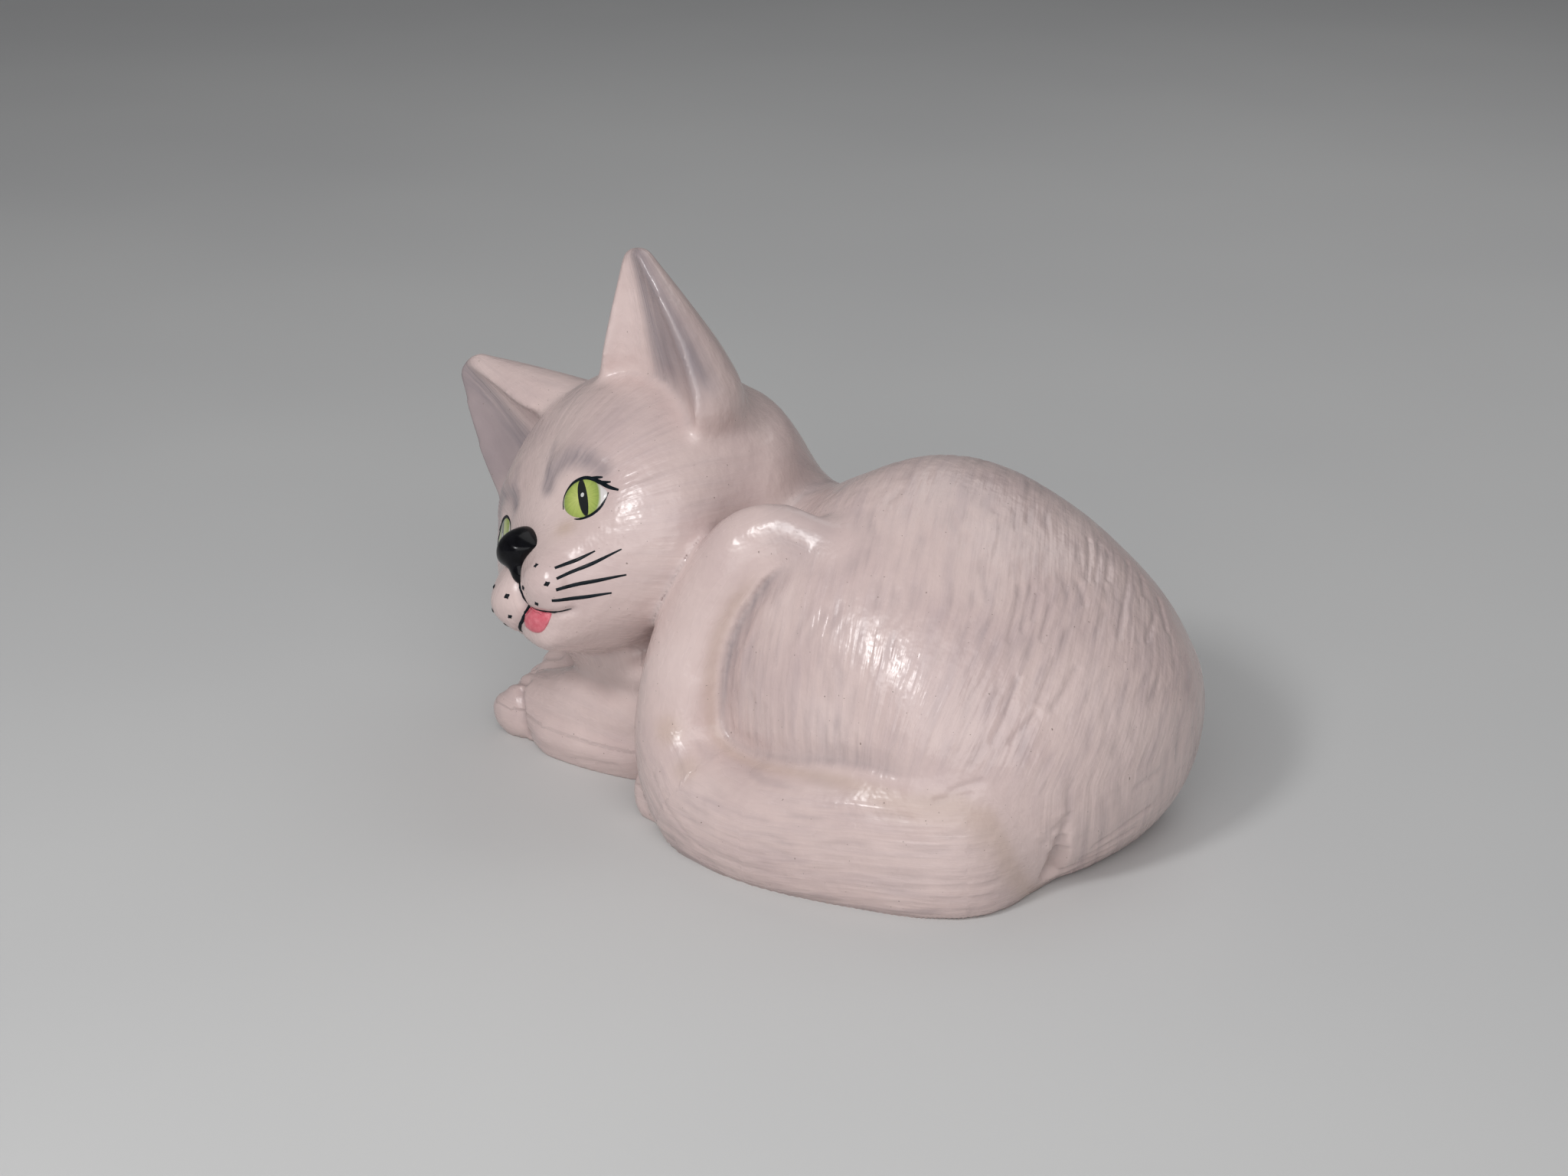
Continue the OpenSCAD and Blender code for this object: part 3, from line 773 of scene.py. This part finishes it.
# %% [markdown]
# ## Laying paint on the head
# A ray from the middle of the head finds the skin in any direction of the globe. A brush
# line is a thin round curve that follows such points and sits most of its thickness deep,
# so only a low ridge of enamel shows.

# %% Brush lines
INSIDE_SKIN = 0.03
NEXT_RAY = 0.004


def on_skin(side, up):
    place = None
    while place is None:
        place, normal, _, _ = skin_tree.ray_cast(HEAD + INSIDE_SKIN * toward(side, up), toward(side, up))
        up += NEXT_RAY
    return place, normal


def between(p, a, b, n, count):
    for t in np.arange(count) / count:
        yield 0.5 * (2 * a + (b - p) * t + (2 * p - 5 * a + 4 * b - n) * t * t
                     + (3 * a - p - 3 * b + n) * t ** 3)


def eased_path(points):
    points = [np.array(point) for point in points]
    ends = [2 * points[0] - points[1], *points, 2 * points[-1] - points[-2]]
    out = []
    for p, a, b, n in zip(ends, ends[1:], ends[2:], ends[3:]):
        degrees = np.hypot(*(b - a)[:2])
        out += between(p, a, b, n, max(2, int(degrees)))
    return out + [points[-1]]


def brush(name, strokes):
    curve = bpy.data.curves.new(name, "CURVE")
    curve.dimensions = "3D"
    curve.bevel_depth, curve.bevel_resolution, curve.use_fill_caps = 0.001, 2, True
    for stroke in strokes:
        path = eased_path(stroke)
        line = curve.splines.new("POLY")
        line.points.add(len(path) - 1)
        for point, (side, up, half) in zip(line.points, path):
            place, normal = on_skin(side, up)
            point.co = (*(place - normal * 0.0009 * half), 1)
            point.radius = 1.35 * half
    piece = bpy.data.objects.new(name, curve)
    bpy.context.scene.collection.objects.link(piece)
    pick(piece)
    bpy.ops.object.convert(target="MESH")
    piece = bpy.context.object
    bpy.ops.object.shade_smooth()
    piece.data.materials.append(line_black)
    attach(piece, "root")
    print(name, len(strokes), "strokes")


def other_side(strokes, shift=(0, 0)):
    return [[(-a - shift[0], b + shift[1], *rest) for a, b, *rest in stroke] for stroke in strokes]


# %% [markdown]
# ## Whiskers, mouth and pad dots
# Four whiskers a side are each one pull of a liner brush: they start blunt at the pad and
# run out thin. The mouth is a short line down from the nose that parts to both sides.

# %% Painting the muzzle
WHISKERS = [
    [(18.9, -14.1, 0.48), (25.5, -14.6, 0.62), (32.6, -14.0, 0.28)],
    [(18.8, -17.2, 0.52), (30.0, -17.6, 0.66), (42.0, -16.3, 0.28)],
    [(17.4, -20.1, 0.60), (28.5, -23.2, 0.68), (40.4, -25.2, 0.30)],
    [(14.4, -22.5, 0.58), (23.0, -26.6, 0.64), (32.4, -29.4, 0.32)]]
brush("whiskers_left", WHISKERS)
brush("whiskers_right", other_side(WHISKERS))
MOUTH = [[(0.4, -22.0, 0.60), (4.5, -24.0, 0.66), (9.0, -25.6, 0.64), (13.0, -27.2, 0.52),
          (16.5, -28.3, 0.20)]]
CLEFT = [[(-0.4, -11.5, 0.62), (-0.4, -16.5, 0.66), (0.2, -21.8, 0.60)]]
brush("mouth_line", MOUTH + other_side(MOUTH) + CLEFT)
DOTS = [(12.7, -11.1), (15.9, -17.3), (4.9, -15.8), (8.0, -21.6)]
dots = [[(a - 1.2, b, 0.3), (a, b, 1.0), (a + 1.2, b, 0.3)] for a, b in DOTS]
brush("pad_dots", dots + other_side(dots))

# %% [markdown]
# ## Eyes
# Each eye is a low lens that a sphere gives once it is squeezed into the almond outline
# and laid on the skin: its front half is the dome, its back half goes into the clay. The
# lens carries its own ruler in millimetres, on which the nodes draw iris and pupil.

# %% Lenses
EYE_MIDDLE = (32.3, 6.8)
FAR_EYE = (-2.0, 0.8)
EYE_RIM = [(21.8, 8.4), (24.0, 12.2), (28.6, 14.4), (34.2, 14.0), (39.0, 10.4), (42.6, 4.4), (38.6, 1.0),
           (34.2, -0.8), (29.6, -0.9), (25.2, 1.4), (22.4, 4.8)]
TONGUE_MIDDLE = (1.6, -26.2)
TONGUE_RIM = [(-5.6, -25.2), (0.2, -22.4), (5.0, -24.4), (9.4, -26.2), (7.4, -28.4), (2.4, -30.0),
              (-3.0, -28.6)]
RIM_STEPS = 12
MM_PER_DEGREE = 0.84


def closed_rim(rim):
    ring = np.array([*rim[-2:], *rim, *rim[:3]], float)
    path = []
    for p, a, b, n in zip(ring[1:], ring[2:], ring[3:], ring[4:-1]):
        path += between(p, a, b, n, RIM_STEPS)
    return np.array(path)


def lens(name, middle, rim, mirror, dome, sink, shift=(0, 0)):
    bpy.ops.object.select_all(action="DESELECT")
    bpy.ops.mesh.primitive_uv_sphere_add(segments=72, ring_count=36, radius=1)
    piece = bpy.context.object
    piece.name = piece.data.name = name
    path = closed_rim(rim) - middle
    order = np.argsort(np.arctan2(path[:, 1], path[:, 0]))
    angle, far = np.arctan2(path[:, 1], path[:, 0])[order], np.hypot(path[:, 0], path[:, 1])[order]
    co = places(piece.data)
    turn, out = np.arctan2(co[:, 1], co[:, 0]), np.hypot(co[:, 0], co[:, 1])
    reach = out * np.interp(turn, angle, far, period=2 * math.pi)
    flat = reach[:, None] * np.column_stack((np.cos(turn), np.sin(turn)))
    for i, (a, b) in enumerate(flat):
        place, normal = on_skin(mirror * (middle[0] + shift[0] + a), middle[1] + shift[1] + b)
        co[i] = place + normal * (dome if co[i, 2] > 0 else sink) * float(co[i, 2])
    move_to(piece.data, co)
    in_mm = np.column_stack((flat * MM_PER_DEGREE, np.zeros(len(flat))))
    attribute(piece.data, "ruler", "FLOAT_VECTOR", in_mm)
    pick(piece)
    bpy.ops.object.mode_set(mode="EDIT")
    bpy.ops.mesh.select_all(action="SELECT")
    bpy.ops.mesh.normals_make_consistent(inside=False)
    bpy.ops.object.mode_set(mode="OBJECT")
    bpy.ops.object.shade_smooth()
    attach(piece, "root")
    print(name, len(piece.data.vertices), "points")
    return piece


eyes = [lens("left_eye_enamel", EYE_MIDDLE, EYE_RIM, 1, 0.0011, 0.002),
        lens("right_eye_enamel", EYE_MIDDLE, EYE_RIM, -1, 0.0011, 0.002, FAR_EYE)]

# %% [markdown]
# ## Iris and pupil
# On the lens ruler the iris is a disc of yellow-green with darker rays toward its edge,
# the pupil is a narrow slit and the catchlight is one painted white dot. Outside the disc
# the lens stays white, which shows only at the outer corner.

# %% Iris nodes
iris, t, s = material("green_enamel", Coat_Weight=0.6, Coat_Roughness=0.05, Roughness=0.18)
ruler = node(t, "Attribute", attribute_name="ruler").outputs["Vector"]


def shape(scale, offset):
    m = node(t, "Mapping", Location=offset, Scale=scale)
    t.links.new(ruler, m.inputs["Vector"])
    d = node(t, "VectorMath", operation="LENGTH")
    t.links.new(m.outputs["Vector"], d.inputs[0])
    return d.outputs["Value"]


round_out = shape((1 / 8.0, 1 / 8.6, 0), (0.125, 0.0, 0))
split = node(t, "SeparateXYZ")
t.links.new(ruler, split.inputs[0])
spoke = math_of(t, "ARCTAN2", split.outputs["Y"], split.outputs["X"])
ray_at = node(t, "CombineXYZ")
t.links.new(math_of(t, "MULTIPLY", spoke, 5.0), ray_at.inputs["X"])
t.links.new(round_out, ray_at.inputs["Y"])
rays = noise(t, ray_at.outputs["Vector"], 2.2, 2.0)
green = ramp(t, round_out, (0.15, (0.58, 0.64, 0.20)), (0.62, (0.45, 0.54, 0.13)), (1.0, (0.24, 0.33, 0.07)))
green = blend(t, "MULTIPLY", 0.35, green, ramp(t, rays, (0.35, 0.55), (0.65, 1.0)))
white = ramp(t, round_out, (0.88, 0.0), (1.0, 1.0))
pupil = ramp(t, shape((1 / 2.0, 1 / 7.0, 0), (0, 0, 0)), (0.94, 1.0), (1.0, 0.0))
catchlight = ramp(t, shape((1 / 0.75, 1 / 0.85, 0), (0.0, -0.7, 0)), (0.9, 1.0), (1.0, 0.0))
eye_colour = blend(t, "MIX", white, green, (0.72, 0.68, 0.66))
eye_colour = blend(t, "MIX", pupil, eye_colour, (0.008, 0.010, 0.010))
eye_colour = blend(t, "MIX", catchlight, eye_colour, (0.66, 0.66, 0.64))
t.links.new(eye_colour, s.inputs["Base Color"])
for piece, name in zip(eyes, ("left_eye", "right_eye")):
    piece.data.materials.append(iris)
    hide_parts(name)
print("iris has", len(t.nodes), "nodes")

# %% [markdown]
# ## Lids and lashes
# The upper lid is one heavy line that thickens toward the outer corner and ends in three
# lashes. The lower lid is a thin line under the outer half.

# %% Painting the lids
LIDS = [
    [(21.5, 5.2, 0.18), (21.8, 8.6, 0.36), (23.6, 12.0, 0.50), (28.2, 14.8, 0.64), (34.4, 14.5, 0.76),
     (39.6, 10.9, 0.78), (43.6, 6.6, 0.70), (47.0, 4.0, 0.40)],
    [(39.6, 10.4, 0.60), (42.6, 9.0, 0.56), (44.9, 8.2, 0.30)],
    [(35.8, 13.6, 0.60), (39.6, 12.4, 0.56), (42.2, 11.4, 0.30)],
    [(26.6, -0.4, 0.16), (29.4, -1.3, 0.42), (34.4, -1.3, 0.55), (39.0, 0.5, 0.52), (43.0, 4.6, 0.26)]]
brush("lid_lines_left", LIDS)
brush("lid_lines_right", other_side(LIDS, FAR_EYE))

# %% [markdown]
# ## Nose and tongue
# The nose is a glossy bulb: a copy of the solid, remeshed finely, with its upper corners
# drawn down, and sponged. The tongue is a small low lens under the mouth line.

# %% Nose and tongue
NOSE_GRAIN = 0.0004
NOSE_GROWTH = 1.12
nose = copy_of("nose", "nose_enamel")
modify(nose, "REMESH", mode="VOXEL", voxel_size=NOSE_GRAIN)
modify(nose, "SMOOTH", factor=0.5, iterations=20)
middle = places(nose.data).mean(axis=0)
local = (places(nose.data) - middle) @ np.array(TURN)
local[:, 2] -= 0.0030 * ease(0.002, 0.008, np.abs(local[:, 0])) * ease(-0.004, 0.003, local[:, 2])
move_to(nose.data, middle + NOSE_GROWTH * local @ np.array(TURN).T)
modify(nose, "SMOOTH", factor=0.5, iterations=110)
pick(nose)
bpy.ops.object.shade_smooth()
nose.data.materials.append(black)
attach(nose, "root")
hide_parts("nose")
tongue = lens("tongue_enamel", TONGUE_MIDDLE, TONGUE_RIM, 1, 0.0013, 0.002)
tongue.data.materials.append(pink)
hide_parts("tongue")
print("nose", len(nose.data.polygons), "faces")

# %% [markdown]
# ## Floor, light and camera
# A pale sweep and three soft lamps: a very large one behind the camera, a small weaker one
# to the left that gives the glints and one behind. The camera stands where the photograph
# was taken from.

# %% Stage
bpy.ops.object.select_all(action="DESELECT")
bpy.ops.mesh.primitive_plane_add(size=8)
floor = bpy.context.object
floor.name = "floor"
paper, pt, ps = material("paper", Roughness=0.9)
mottle = noise(pt, node(pt, "TexCoord").outputs["Object"], 3.0, 2.0)
pt.links.new(ramp(pt, mottle, (0.3, (0.60, 0.60, 0.60)), (0.7, (0.64, 0.64, 0.635))), ps.inputs["Base Color"])
floor.data.materials.append(paper)


def aim(obj, place, target):
    obj.location = place
    obj.rotation_euler = (Vector(target) - Vector(place)).to_track_quat("-Z", "Y").to_euler()


def around(azimuth, elevation, distance):
    a, e = math.radians(azimuth), math.radians(elevation)
    return Vector((math.sin(a) * math.cos(e), -math.cos(a) * math.cos(e), math.sin(e))) * distance


LAMPS = [("key", 43, 34, 1.3, 9.5), ("glint", 8, 43, 0.2, 4.5), ("back", 190, 55, 0.9, 2.5)]
LAMP_DISTANCE = 1.3
for name, azimuth, elevation, size, power in LAMPS:
    lamp = bpy.data.objects.new(name, bpy.data.lights.new(name, "AREA"))
    lamp.data.size, lamp.data.energy = size, power
    bpy.context.scene.collection.objects.link(lamp)
    aim(lamp, around(azimuth, elevation, LAMP_DISTANCE), (0, 0, 0.07))
world = bpy.data.worlds.new("room")
bpy.context.scene.world = world
world.use_nodes = True
world.node_tree.nodes["Background"].inputs["Color"].default_value = (0.85, 0.86, 0.88, 1)
world.node_tree.nodes["Background"].inputs["Strength"].default_value = 0.2
print(len(LAMPS), "lamps and a floor")

# %% Camera
TARGET = Vector((0.008398, -0.013622, 0.07))
camera = bpy.data.objects.new("camera", bpy.data.cameras.new("camera"))
camera.data.lens, camera.data.sensor_width = 60, 36
bpy.context.scene.collection.objects.link(camera)
aim(camera, TARGET + around(46, 23, 0.85), TARGET)
bpy.context.scene.camera = camera
bpy.context.scene.view_settings.view_transform = "Standard"
print("camera at", [round(v, 3) for v in camera.location])
